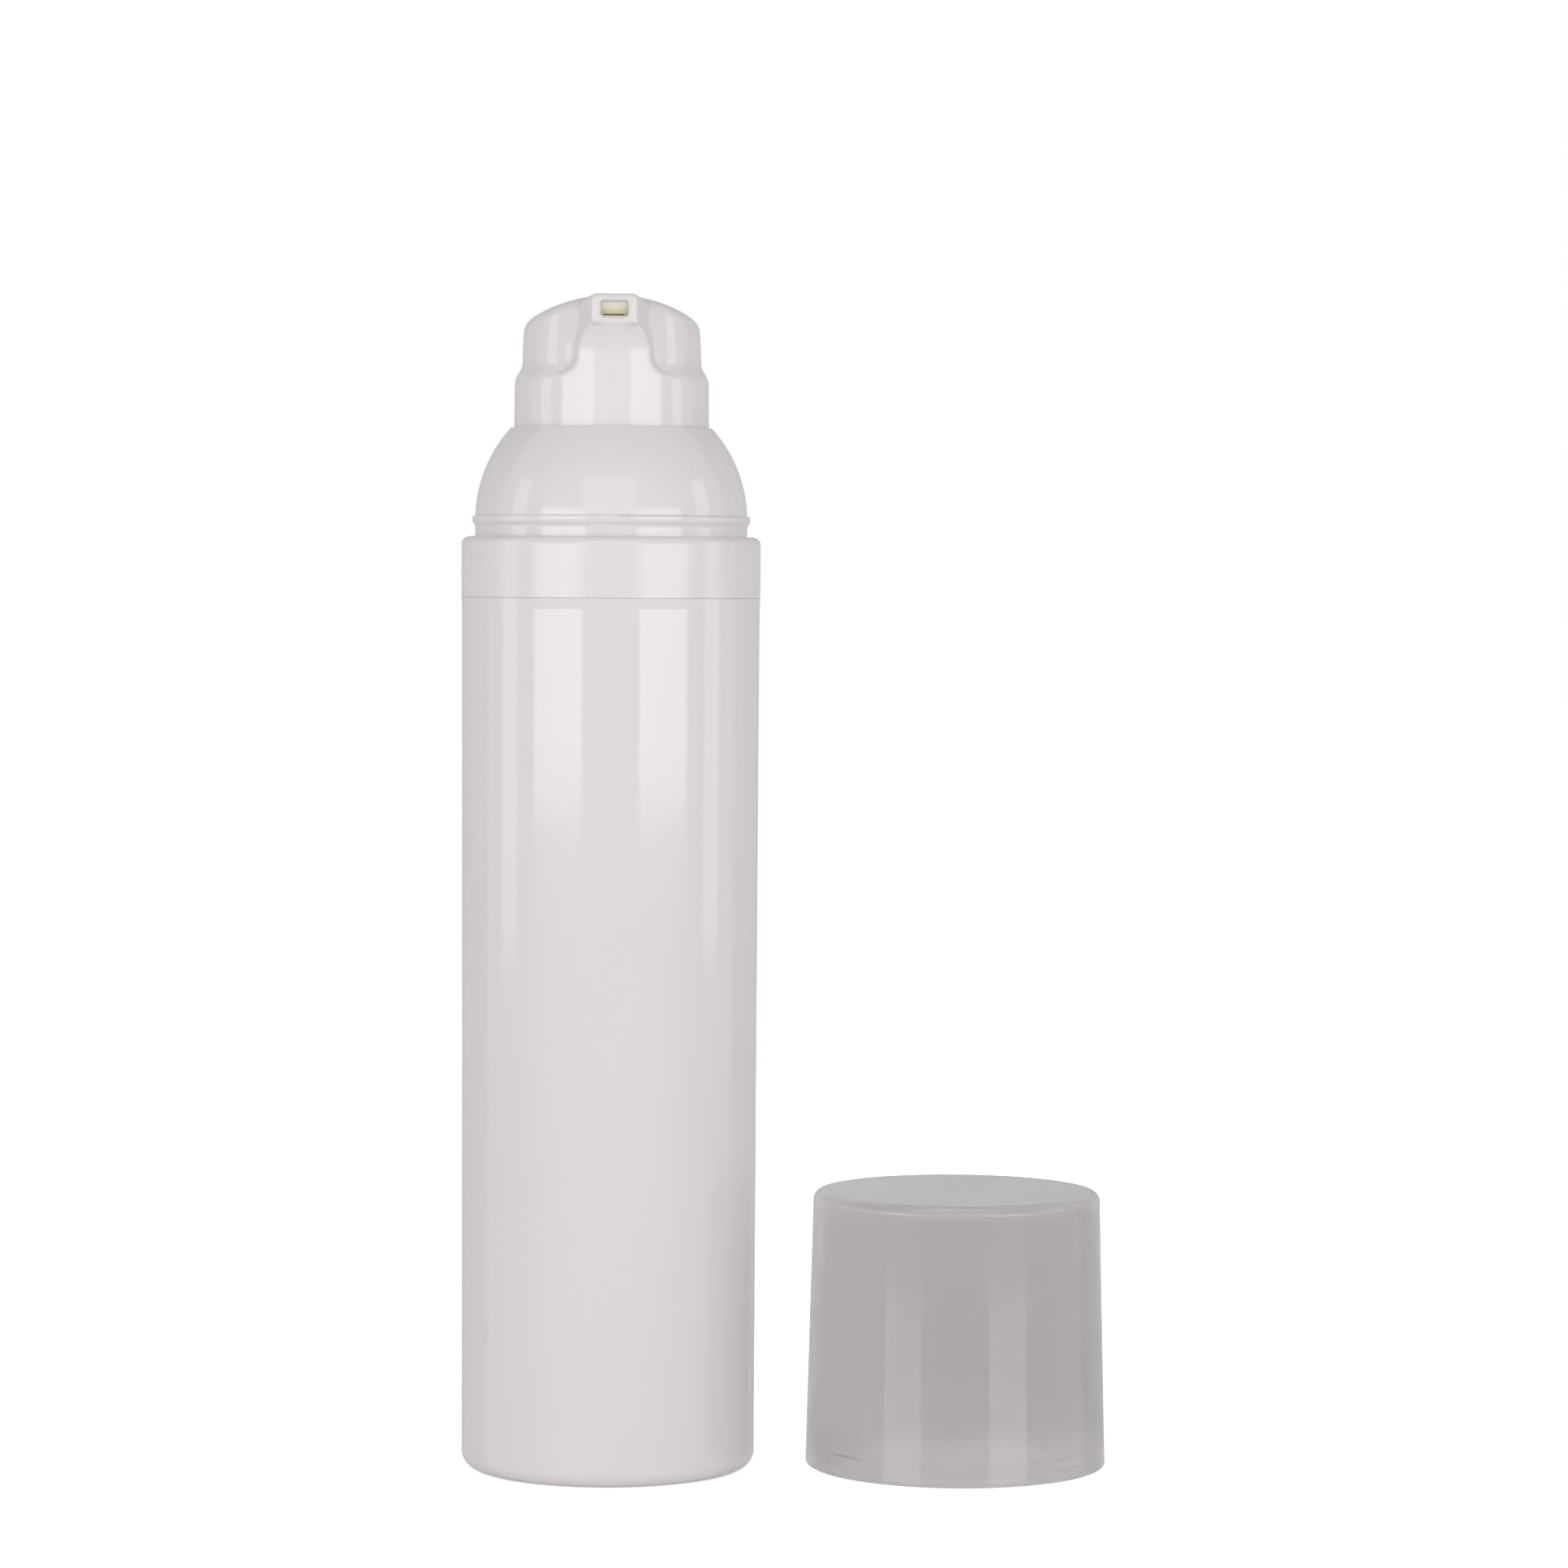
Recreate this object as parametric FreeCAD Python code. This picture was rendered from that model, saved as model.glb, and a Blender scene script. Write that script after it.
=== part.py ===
import FreeCAD, Part
import math
import os

# An airless pump bottle for cream. A follower piston rises in the straight bore as the pump empties
# the bottle. A domed collar snaps over the neck, a press actuator with a nozzle stands in the dome,
# and the overcap is off and stands beside the bottle on its rim.
# Millimetres, +Z up. The origin is the middle of the bottle's foot, the nozzle faces -Y and the cap
# stands towards +X. Radii are named radius or bore, and a rise is measured up from the place named.

# Bottle
BODY_RADIUS = 20.42
BODY_DRAFT = 0.25
BODY_HEIGHT = 119.7
BODY_WALL = 2.22
FOOT_ROUND = 2.2
FOOT_RECESS_RADIUS = 14.5
FOOT_RECESS_DEPTH = 0.8
FOOT_RECESS_SLOPE = 0.6
FLOOR_THICKNESS = 1.6
FLOOR_RIB_HEIGHT = 0.5
FLOOR_RIB_WIDTH = 1.0
FLOOR_RIB_START = 3.0
FLOOR_RIB_EDGE = 2.5
FLOOR_RIB_COUNT = 6
VENT_RADIUS = 0.75
TOP_FLARE = 0.08
TOP_FLARE_HEIGHT = 1.45
TOP_EDGE_ROUND = 0.03
NECK_WALL = 1.15
NECK_BEAD_PROUD = 0.3
NECK_BEAD_HALF = 0.7

# Domed collar
COLLAR_FIT = 0.05
PARTING_GAP = 0.03
BAND_HEIGHT = 8.29
BAND_EDGE_ROUND = 0.03
RIM_ROUND = 1.05
LEDGE_WIDTH = 1.85
LEDGE_THICKNESS = 1.2
MOUTH_RISE = 15.16
DOME_WALL = 1.2
CAP_BEAD_PROUD = 0.37
CAP_BEAD_RISE = 1.2
CAP_BEAD_HEIGHT = 1.65
CAP_BEAD_ROUND = 0.3
MOUTH_FIT = 0.13
MOUTH_ROUND = 0.18

# Pump chamber, gasket and guide sleeve
GASKET_THICKNESS = 1.0
FLANGE_THICKNESS = 1.2
PLUG_FIT = 0.1
PLUG_WALL = 1.0
PLUG_DEPTH = 1.5
CHAMBER_BORE = 6.5
CHAMBER_WALL = 1.0
CHAMBER_FLOOR = 1.2
CHAMBER_ROUND = 0.6
INLET_BORE = 2.2
TUBE_RISE = 2.2
PRESS_FIT = 0.02
SLEEVE_PLUG = 2.6
SLEEVE_FLANGE = 1.2
CLIP_DEPTH = 1.5
CLIP_WALL = 0.9
GUIDE_FIT = 0.08
GUIDE_WALL = 1.2
GUIDE_HEIGHT = 3.2

# Inlet valve and its cage
VALVE_THICKNESS = 0.6
VALVE_OVERLAP = 1.7
VALVE_BOSS_FIT = 0.3
VALVE_BOSS_DEPTH = 0.8
VALVE_BOSS_TAPER = 0.5
VALVE_LIFT = 0.8
LIFT_CLEARANCE = 0.05
CAGE_CLEARANCE = 0.4
CAGE_ARM_HEIGHT = 0.8
CAGE_ARM_WIDTH = 1.4
CAGE_ARM_COUNT = 3
CAGE_HUB_RADIUS = 1.5

# Stem, piston, retainer and spring
STROKE = 6.0
STROKE_CLEARANCE = 0.3
STEM_RADIUS = 3.0
STEM_BORE = 1.6
STEM_STEP = 0.6
SPIGOT_LENGTH = 2.6
STEM_FLANGE = 1.0
STEM_FLANGE_EDGE = 0.5
SOCKET_DEPTH = 8.0
PISTON_HEIGHT = 4.0
PISTON_FIT = 0.03
PISTON_LIP_FIT = 0.05
PISTON_LIP_LAND = 0.6
PISTON_LIP_WALL = 0.7
PISTON_WAIST = 1.1
PISTON_TAPER = 0.7
PISTON_GROOVE = 0.8
PISTON_HUB_WALL = 1.2
RETAINER_BORE = 0.9
RETAINER_FLANGE = 0.8
RETAINER_SLEEVE = 2.2
SPRING_WIRE = 1.0
SPRING_FIT = 0.6
SPRING_LENGTH = 12.8
SPRING_FLAT = 0.15
SPRING_TURNS = 5

# Actuator and nozzle
SKIRT_RADIUS = 13.4
SKIRT_DRAFT = 0.12
SKIRT_DEPTH = 5.0
SHOULDER_RISE = 5.5
SHOULDER_HEIGHT = 3.3
SHOULDER_STEP = 1.05
UPPER_LEAN = 1.1
CROWN_RISE = 16.45
CROWN_RADIUS = 32.0
CROWN_ROUND = 2.1
DISH_RADIUS = 80.0
DISH_SET_BACK = 3.0
ACTUATOR_WALL = 1.2
ROOF_THICKNESS = 1.5
SOCKET_WALL = 1.3
APRON_WAIST_RISE = 0.45
APRON_FOOT_DROP = 2.05
APRON_LEAN_RISE = 0.8
NOZZLE_WIDTH = 5.9
NOZZLE_WAIST = 7.4
NOZZLE_FOOT = 10.8
NOZZLE_HEIGHT = 4.1
NOZZLE_OVER_CROWN = 1.0
NOZZLE_REACH = 1.2
NOZZLE_ROUND = 0.6
NOZZLE_EDGE_ROUND = 0.3
ROOT_DEPTH = 6.6
ROOT_WIDTH = 12.4
ROOT_WAIST = 13.8
ROOT_FOOT = 18.4
ROOT_DROP = 1.6
OPENING_WIDTH = 3.7
OPENING_HEIGHT = 2.0
OPENING_DROP = 1.1
OPENING_ROUND = 0.35
POCKET_DEPTH = 4.0
DUCT_RADIUS = 0.85
TIP_RECESS = 0.5
TIP_LEAN = 0.8
TIP_FRONT_WALL = 0.8
TIP_WALL = 0.45
TIP_SLIT = 0.15

# Overcap
CAP_GAP = 6.9
CAP_HEIGHT = 38.0
CAP_DRAFT = 0.96
CAP_WALL = 1.2
CAP_TOP = 1.3
CAP_TOP_ROUND = 1.35
CAP_INNER_ROUND = 0.8
CAP_FIT = 0.1
CAP_RIM_WALL = 1.62
CAP_RIM_HEIGHT = 2.7
CAP_RIM_ROUND = 0.5
CAP_SNAP_PROUD = 0.26
CAP_SNAP_RISE = 0.4
CAP_SNAP_HEIGHT = 1.0

# Follower piston
FOLLOWER_LIP_FIT = 0.05
FOLLOWER_LIP_LAND = 1.0
FOLLOWER_LIP_WALL = 0.6
FOLLOWER_TAPER = 1.4
FOLLOWER_WAIST = 0.9
FOLLOWER_WALL = 1.1
FOLLOWER_CROWN_DROP = 1.6
FOLLOWER_END_GAP = 0.3
WELL_CLEARANCE = 0.8

# How far a cutting shape runs past what it cuts, and how near two places count as the same
OVERRUN = 1.0
SAME_PLACE = 0.01

# Radii and heights that follow from the sizes above, from the bottle up
bore = BODY_RADIUS - BODY_WALL
neck_radius = bore + NECK_WALL
floor_top = FOOT_RECESS_DEPTH + FLOOR_THICKNESS
collar_radius = BODY_RADIUS + TOP_FLARE
collar_bore = neck_radius + COLLAR_FIT
band_low = BODY_HEIGHT + PARTING_GAP
rim = band_low + BAND_HEIGHT
ledge_under = rim - LEDGE_THICKNESS
flange_low = ledge_under - FLANGE_THICKNESS
neck_top = flange_low - GASKET_THICKNESS
neck_bead = (BODY_HEIGHT + neck_top) / 2
dome_radius = collar_radius - LEDGE_WIDTH
dome_inside = dome_radius - DOME_WALL
mouth_radius = SKIRT_RADIUS + MOUTH_FIT
mouth = rim + MOUTH_RISE
dome_centre = mouth - math.sqrt(dome_radius**2 - mouth_radius**2)
mouth_under = dome_centre + math.sqrt(dome_inside**2 - mouth_radius**2)

# The pump's stack, from the clamped flange to the chamber's floor
plug_radius = bore - PLUG_FIT
plug_low = flange_low - PLUG_DEPTH
tube_radius = CHAMBER_BORE + CHAMBER_WALL
tube_top = ledge_under + TUBE_RISE
seat = tube_top + SLEEVE_FLANGE
sleeve_low = tube_top - SLEEVE_PLUG
piston_low = sleeve_low - PISTON_HEIGHT
retainer_low = piston_low - RETAINER_FLANGE
cage_top = retainer_low - STROKE - STROKE_CLEARANCE
cage_arm_low = cage_top - CAGE_ARM_HEIGHT
chamber_floor = cage_arm_low - LIFT_CLEARANCE - VALVE_LIFT - VALVE_THICKNESS
chamber_under = chamber_floor - CHAMBER_FLOOR
valve_radius = INLET_BORE + VALVE_OVERLAP
cage_bore = valve_radius + CAGE_CLEARANCE

# The moving stack, at rest with the piston against the guide sleeve
guide_bore = STEM_RADIUS + GUIDE_FIT
guide_radius = guide_bore + GUIDE_WALL
spigot_radius = STEM_RADIUS - STEM_STEP
spigot_top = piston_low + SPIGOT_LENGTH
spring_radius = guide_radius + SPRING_FIT + SPRING_WIRE / 2
stem_flange_radius = spring_radius + SPRING_WIRE / 2 + STEM_FLANGE_EDGE
stem_flange_low = seat + SPRING_LENGTH
socket_low = stem_flange_low + STEM_FLANGE
stem_top = socket_low + SOCKET_DEPTH
piston_bore = spigot_radius + PISTON_FIT
piston_counterbore = STEM_RADIUS + PISTON_FIT
piston_hub = piston_counterbore + PISTON_HUB_WALL
piston_lip = CHAMBER_BORE - PISTON_LIP_FIT

# The actuator, from the dome's mouth up
skirt_low = mouth - SKIRT_DEPTH
skirt_top_radius = SKIRT_RADIUS - SKIRT_DRAFT
shoulder_low = mouth + SHOULDER_RISE
shoulder_top = shoulder_low + SHOULDER_HEIGHT
upper_radius = skirt_top_radius - SHOULDER_STEP
crown = mouth + CROWN_RISE
blank_top = crown + CROWN_ROUND
dish_axis = crown + DISH_RADIUS
flow_top = crown - ROOF_THICKNESS - 2 * DUCT_RADIUS
socket_radius = STEM_RADIUS + SOCKET_WALL
nozzle_top = crown + NOZZLE_OVER_CROWN
nozzle_low = nozzle_top - NOZZLE_HEIGHT
nozzle_front = SKIRT_RADIUS + NOZZLE_REACH
opening_top = nozzle_top - OPENING_DROP
opening_low = opening_top - OPENING_HEIGHT
pocket_back = nozzle_front - POCKET_DEPTH
apron_waist = shoulder_top + APRON_WAIST_RISE
apron_foot = shoulder_top - APRON_FOOT_DROP
apron_lean = shoulder_top + APRON_LEAN_RISE

# The overcap in its own place beside the bottle
cap_rim_bore = dome_radius + CAP_BEAD_PROUD + CAP_FIT
cap_radius = cap_rim_bore + CAP_RIM_WALL
cap_top_radius = cap_radius - CAP_DRAFT
cap_axis = collar_radius + CAP_GAP + cap_radius

# The follower piston, resting on the floor ribs
follower_low = floor_top + FLOOR_RIB_HEIGHT
follower_height = plug_low - chamber_under + FOLLOWER_WALL + FOLLOWER_END_GAP
follower_top = follower_low + follower_height
follower_lip = bore - FOLLOWER_LIP_FIT
follower_radius = follower_lip - FOLLOWER_WAIST
follower_crown = follower_top - FOLLOWER_CROWN_DROP
well_radius = tube_radius + WELL_CLEARANCE
follower_travel = plug_low - FOLLOWER_END_GAP - follower_top

UP = FreeCAD.Vector(0, 0, 1)
ACROSS = FreeCAD.Vector(1, 0, 0)
FORWARD = FreeCAD.Vector(0, -1, 0)
ORIGIN = FreeCAD.Vector(0, 0, 0)


def at(x, y, z):
    return FreeCAD.Vector(x, y, z)


def in_plane(point):
    """A point of an outline, given as (distance from the axis, height), in the XZ plane."""
    return at(point[0], 0, point[1])


def unit(start, end):
    length = math.hypot(end[0] - start[0], end[1] - start[1])
    return (end[0] - start[0]) / length, (end[1] - start[1]) / length


def rounded_corner(before, corner, after):
    """Start, middle and end of the arc that rounds a corner given as (x, z, radius)."""
    back = unit(corner, before)
    ahead = unit(corner, after)
    half = math.acos(back[0] * ahead[0] + back[1] * ahead[1]) / 2
    reach = corner[2] / math.tan(half)
    depth = corner[2] / math.sin(half) - corner[2]
    inward = unit((0, 0), (back[0] + ahead[0], back[1] + ahead[1]))
    start = (corner[0] + back[0] * reach, corner[1] + back[1] * reach)
    middle = (corner[0] + inward[0] * depth, corner[1] + inward[1] * depth)
    end = (corner[0] + ahead[0] * reach, corner[1] + ahead[1] * reach)
    return start, middle, end


def end_of(step):
    """The point that a step of an outline ends at."""
    return step[1] if isinstance(step[0], tuple) else step


def outline(steps):
    """Closed wire in the XZ plane. A step is a point (x, z), a rounded corner (x, z, radius) between
    straight lines, or an arc ((x, z) on the way, (x, z) at its end)."""
    edges = []
    here = steps[0]
    for index in range(1, len(steps) + 1):
        step = steps[index % len(steps)]
        if isinstance(step[0], tuple):
            edges.append(Part.Arc(in_plane(here), in_plane(step[0]), in_plane(step[1])).toShape())
            here = step[1]
        elif len(step) > 2:
            following = end_of(steps[(index + 1) % len(steps)])
            start, middle, end = rounded_corner(here, step, following)
            edges.append(Part.LineSegment(in_plane(here), in_plane(start)).toShape())
            edges.append(Part.Arc(in_plane(start), in_plane(middle), in_plane(end)).toShape())
            here = end
        elif math.dist(here, step) > 0:
            edges.append(Part.LineSegment(in_plane(here), in_plane(step)).toShape())
            here = step
    return Part.Wire(edges)


def turned(steps):
    """Solid of revolution about the Z axis."""
    return Part.Face(outline(steps)).revolve(ORIGIN, UP, 360)


def upright_arc(start, end):
    """Middle of the arc from start, where it runs straight up or down, to end."""
    aside = end[0] - start[0]
    along = end[1] - start[1]
    radius = (aside**2 + along**2) / (2 * aside)
    turn = math.atan2(along, radius - aside) / 2 if radius > 0 else math.atan2(along, aside - radius) / 2
    return start[0] + radius * (1 - math.cos(turn)), start[1] + abs(radius) * math.sin(turn)


def on_circle(centre, radius, first, second):
    """Point of a circle about (0, centre) halfway between two of its points."""
    angle = (math.atan2(first[1] - centre, first[0]) + math.atan2(second[1] - centre, second[0])) / 2
    return radius * math.cos(angle), centre + radius * math.sin(angle)


def s_curve(start, end):
    """Two equal arcs from start to end that run upright at both ends."""
    middle = ((start[0] + end[0]) / 2, (start[1] + end[1]) / 2)
    return [(upright_arc(start, middle), middle), (upright_arc(end, middle), end)]


def block(width, back, front, low, top):
    """Box centred on X between two distances in front of the axis and two heights."""
    return Part.makeBox(width, front - back, top - low, at(-width / 2, -front, low))


def spread(shape, count):
    """Copies of a shape turned evenly about the Z axis."""
    copies = []
    for index in range(count):
        copy = shape.copy()
        copy.rotate(ORIGIN, UP, index * 360 / count)
        copies.append(copy)
    return copies


def bottle():
    """Straight bottle with a recessed, vented floor and a snap bead on its neck."""
    shell = turned([
        (VENT_RADIUS, FOOT_RECESS_DEPTH),
        (FOOT_RECESS_RADIUS - FOOT_RECESS_SLOPE, FOOT_RECESS_DEPTH),
        (FOOT_RECESS_RADIUS, 0),
        (BODY_RADIUS - BODY_DRAFT, 0, FOOT_ROUND),
        (BODY_RADIUS, BODY_HEIGHT - TOP_FLARE_HEIGHT),
        (collar_radius, BODY_HEIGHT, TOP_EDGE_ROUND),
        (neck_radius, BODY_HEIGHT),
        (neck_radius, neck_bead - NECK_BEAD_HALF),
        ((neck_radius + NECK_BEAD_PROUD, neck_bead), (neck_radius, neck_bead + NECK_BEAD_HALF)),
        (neck_radius, neck_top),
        (bore, neck_top),
        (bore, floor_top),
        (VENT_RADIUS, floor_top),
    ])
    rib_length = bore - FLOOR_RIB_EDGE - FLOOR_RIB_START
    rib_foot = at(FLOOR_RIB_START, -FLOOR_RIB_WIDTH / 2, floor_top - FLOOR_THICKNESS / 2)
    rib = Part.makeBox(rib_length, FLOOR_RIB_WIDTH, FLOOR_THICKNESS / 2 + FLOOR_RIB_HEIGHT, rib_foot)
    return shell.fuse(spread(rib, FLOOR_RIB_COUNT)).removeSplitter()


def dome_collar():
    """Band over the neck, rim ledge, cap bead and spherical dome with the actuator's mouth."""
    bead_low = rim + CAP_BEAD_RISE
    bead_top = bead_low + CAP_BEAD_HEIGHT
    bead_radius = dome_radius + CAP_BEAD_PROUD
    bead_crest = bead_top - 2 * CAP_BEAD_ROUND
    dome_foot = (math.sqrt(dome_radius**2 - (bead_top - dome_centre) ** 2), bead_top)
    dome_lip = (mouth_radius, mouth)
    inner_lip = (mouth_radius, mouth_under)
    inner_foot = (dome_inside, dome_centre)
    groove_half = NECK_BEAD_HALF + COLLAR_FIT
    solid = turned([
        (collar_bore, band_low),
        (collar_radius, band_low, BAND_EDGE_ROUND),
        (collar_radius, rim, RIM_ROUND),
        (dome_radius, rim),
        (dome_radius, bead_low),
        *s_curve((dome_radius, bead_low), (bead_radius, bead_crest)),
        (bead_radius, bead_top, CAP_BEAD_ROUND),
        dome_foot,
        (on_circle(dome_centre, dome_radius, dome_foot, dome_lip), dome_lip),
        inner_lip,
        (on_circle(dome_centre, dome_inside, inner_lip, inner_foot), inner_foot),
        (dome_inside, ledge_under),
        (collar_bore, ledge_under),
        (collar_bore, neck_bead + groove_half),
        ((collar_bore + NECK_BEAD_PROUD, neck_bead), (collar_bore, neck_bead - groove_half)),
    ])
    lip = [edge for edge in solid.Edges if edge.BoundBox.ZMin > mouth - SAME_PLACE]
    return solid.makeFillet(MOUTH_ROUND, lip)


def neck_gasket():
    """Flat seal ring on the neck's top."""
    return turned([(bore, neck_top), (neck_radius, neck_top), (neck_radius, flange_low), (bore, flange_low)])


def pump_chamber():
    """Clamped flange with a plug skirt, and the chamber tube with its inlet seat."""
    return turned([
        (INLET_BORE, chamber_under),
        (tube_radius, chamber_under, CHAMBER_ROUND),
        (tube_radius, flange_low),
        (plug_radius - PLUG_WALL, flange_low),
        (plug_radius - PLUG_WALL, plug_low),
        (plug_radius, plug_low),
        (plug_radius, flange_low),
        (neck_radius, flange_low),
        (neck_radius, ledge_under),
        (tube_radius, ledge_under),
        (tube_radius, tube_top),
        (CHAMBER_BORE, tube_top),
        (CHAMBER_BORE, chamber_floor),
        (INLET_BORE, chamber_floor),
    ])


def guide_sleeve():
    """Plug in the tube's top with a clip skirt, the spring's seat and the stem's guide."""
    plug = CHAMBER_BORE - PRESS_FIT
    clip = tube_radius + PRESS_FIT
    return turned([
        (guide_bore, sleeve_low),
        (plug, sleeve_low),
        (plug, tube_top),
        (clip, tube_top),
        (clip, tube_top - CLIP_DEPTH),
        (clip + CLIP_WALL, tube_top - CLIP_DEPTH),
        (clip + CLIP_WALL, seat),
        (guide_radius, seat),
        (guide_radius, seat + GUIDE_HEIGHT),
        (guide_bore, seat + GUIDE_HEIGHT),
    ])


def valve_cage():
    """Ring on the chamber's floor with a spider above the inlet valve."""
    outer = CHAMBER_BORE - PRESS_FIT
    ring = turned([
        (cage_bore, chamber_floor),
        (outer, chamber_floor),
        (outer, cage_top),
        (cage_bore, cage_top),
    ])
    arm_place = at(0, -CAGE_ARM_WIDTH / 2, cage_arm_low)
    arm = Part.makeBox((cage_bore + outer) / 2, CAGE_ARM_WIDTH, CAGE_ARM_HEIGHT, arm_place)
    hub = Part.makeCylinder(CAGE_HUB_RADIUS, CAGE_ARM_HEIGHT, at(0, 0, cage_arm_low))
    return ring.fuse(spread(arm, CAGE_ARM_COUNT) + [hub]).removeSplitter()


def inlet_valve():
    """Loose disc over the inlet, with a tapered boss that keeps it central."""
    boss = INLET_BORE - VALVE_BOSS_FIT
    boss_low = chamber_floor - VALVE_BOSS_DEPTH
    return turned([
        (0, boss_low),
        (boss - VALVE_BOSS_TAPER, boss_low),
        (boss, chamber_floor),
        (valve_radius, chamber_floor),
        (valve_radius, chamber_floor + VALVE_THICKNESS),
        (0, chamber_floor + VALVE_THICKNESS),
    ])


def pump_stem():
    """Hollow stem with a spigot for the piston and a flange for the spring."""
    return turned([
        (STEM_BORE, piston_low),
        (spigot_radius, piston_low),
        (spigot_radius, spigot_top),
        (STEM_RADIUS, spigot_top),
        (STEM_RADIUS, stem_flange_low),
        (stem_flange_radius, stem_flange_low),
        (stem_flange_radius, socket_low),
        (STEM_RADIUS, socket_low),
        (STEM_RADIUS, stem_top),
        (STEM_BORE, stem_top),
    ])


def pump_piston():
    """Spool with a thin lip at each end, free to turn on the stem's spigot."""
    lip_inside = piston_lip - PISTON_LIP_WALL
    waist = piston_lip - PISTON_WAIST
    groove = (piston_hub + lip_inside) / 2
    taper_low = piston_low + PISTON_LIP_LAND
    taper_top = sleeve_low - PISTON_LIP_LAND
    return turned([
        (piston_bore, piston_low),
        (piston_hub, piston_low),
        (groove, piston_low + PISTON_GROOVE),
        (lip_inside, piston_low),
        (piston_lip, piston_low),
        (piston_lip, taper_low),
        (waist, taper_low + PISTON_TAPER),
        (waist, taper_top - PISTON_TAPER),
        (piston_lip, taper_top),
        (piston_lip, sleeve_low),
        (lip_inside, sleeve_low),
        (groove, sleeve_low - PISTON_GROOVE),
        (piston_hub, sleeve_low),
        (piston_counterbore, sleeve_low),
        (piston_counterbore, spigot_top),
        (piston_bore, spigot_top),
    ])


def piston_retainer():
    """Sleeve pressed into the stem, whose flange holds the piston on the spigot."""
    sleeve = STEM_BORE - PRESS_FIT
    return turned([
        (RETAINER_BORE, retainer_low),
        (piston_hub, retainer_low),
        (piston_hub, piston_low),
        (sleeve, piston_low),
        (sleeve, piston_low + RETAINER_SLEEVE),
        (RETAINER_BORE, piston_low + RETAINER_SLEEVE),
    ])


def helix_point(angle, low, rise):
    """Place and direction on the spring's centre line at an angle in radians."""
    climb = rise / (2 * math.pi)
    place = at(spring_radius * math.cos(angle), spring_radius * math.sin(angle), low + climb * angle)
    heading = at(-spring_radius * math.sin(angle), spring_radius * math.cos(angle), climb)
    return place, heading.normalize()


def tangent_arc(start, control, end):
    """Arc between two points whose end tangents meet at the control point."""
    middle = (start + end) / 2
    half = (end - start).Length / 2
    lift = control - middle
    angle = math.atan2(lift.Length, half)
    return Part.Arc(start, middle + lift.normalize() * half * math.tan(angle / 2), end).toShape()


def biarc(first, second):
    """Two arcs that join two points with given directions."""
    start, out = first
    end, into = second
    span = end - start
    along = span.dot(out + into)
    spare = 2 * (1 - out.dot(into))
    reach = (math.sqrt(along**2 + spare * span.dot(span)) - along) / spare
    leave = start + out * reach
    arrive = end - into * reach
    joint = (leave + arrive) / 2
    return [tangent_arc(start, leave, joint), tangent_arc(joint, arrive, end)]


def return_spring():
    """Open-coiled steel spring, its two ends cut flat where they bear."""
    low = seat + SPRING_WIRE / 2 - SPRING_FLAT
    top = stem_flange_low - SPRING_WIRE / 2 + SPRING_FLAT
    rise = (top - low) / SPRING_TURNS
    quarters = [helix_point(index * math.pi / 2, low, rise) for index in range(4 * SPRING_TURNS + 1)]
    edges = []
    for first, second in zip(quarters, quarters[1:]):
        edges += biarc(first, second)
    path = Part.Wire(edges)
    section = Part.Wire(Part.Circle(quarters[0][0], quarters[0][1], SPRING_WIRE / 2).toShape())
    coil = path.makePipeShell([section], True, False)
    print("spring volume over section times length:", coil.Volume / (path.Length * Part.Face(section).Area))
    print("spring least gap between turns:", least_gap(path))
    height = stem_flange_low - seat
    return coil.common(Part.makeCylinder(stem_flange_radius, height, at(0, 0, seat)))


def least_gap(path):
    """Least clear distance between parts of the wire that lie more than half a turn apart."""
    points = path.discretize(SPRING_TURNS * 36 + 1)
    pairs = [(a, b) for a in range(len(points)) for b in range(a + 18, len(points))]
    return min((points[a] - points[b]).Length for a, b in pairs) - SPRING_WIRE


def above_saddle(drop):
    """Space above the finger dish: crowned across, hollow from front to back, lowered by drop."""
    half = nozzle_front + OVERRUN
    top = crown + half
    edge = crown - CROWN_RADIUS + math.sqrt(CROWN_RADIUS**2 - half**2)
    section = Part.Face(outline([(-half, edge), ((0, crown), (half, edge)), (half, top), (-half, top)]))
    axis = at(0, 0, dish_axis)
    sweep = 2 * math.degrees(math.asin(half / (DISH_RADIUS - half)))
    section.rotate(axis, ACROSS, -sweep)
    saddle = section.revolve(axis, ACROSS, 2 * sweep)
    saddle.translate(at(0, DISH_SET_BACK, -drop))
    return saddle


def actuator_body():
    """Skirt, shoulder and crowned upper body, solid."""
    blank_foot = (upper_radius, shoulder_top)
    blank_lip = (upper_radius - UPPER_LEAN, blank_top)
    body = turned([
        (0, skirt_low),
        (SKIRT_RADIUS, skirt_low),
        (skirt_top_radius, shoulder_low),
        *s_curve((skirt_top_radius, shoulder_low), blank_foot),
        (upright_arc(blank_foot, blank_lip), blank_lip),
        (0, blank_top),
    ])
    body = body.cut(above_saddle(0))
    crown_edges = [edge for edge in body.Edges if edge.BoundBox.ZMin > shoulder_top + OVERRUN]
    return body.makeFillet(CROWN_ROUND, crown_edges)


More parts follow.
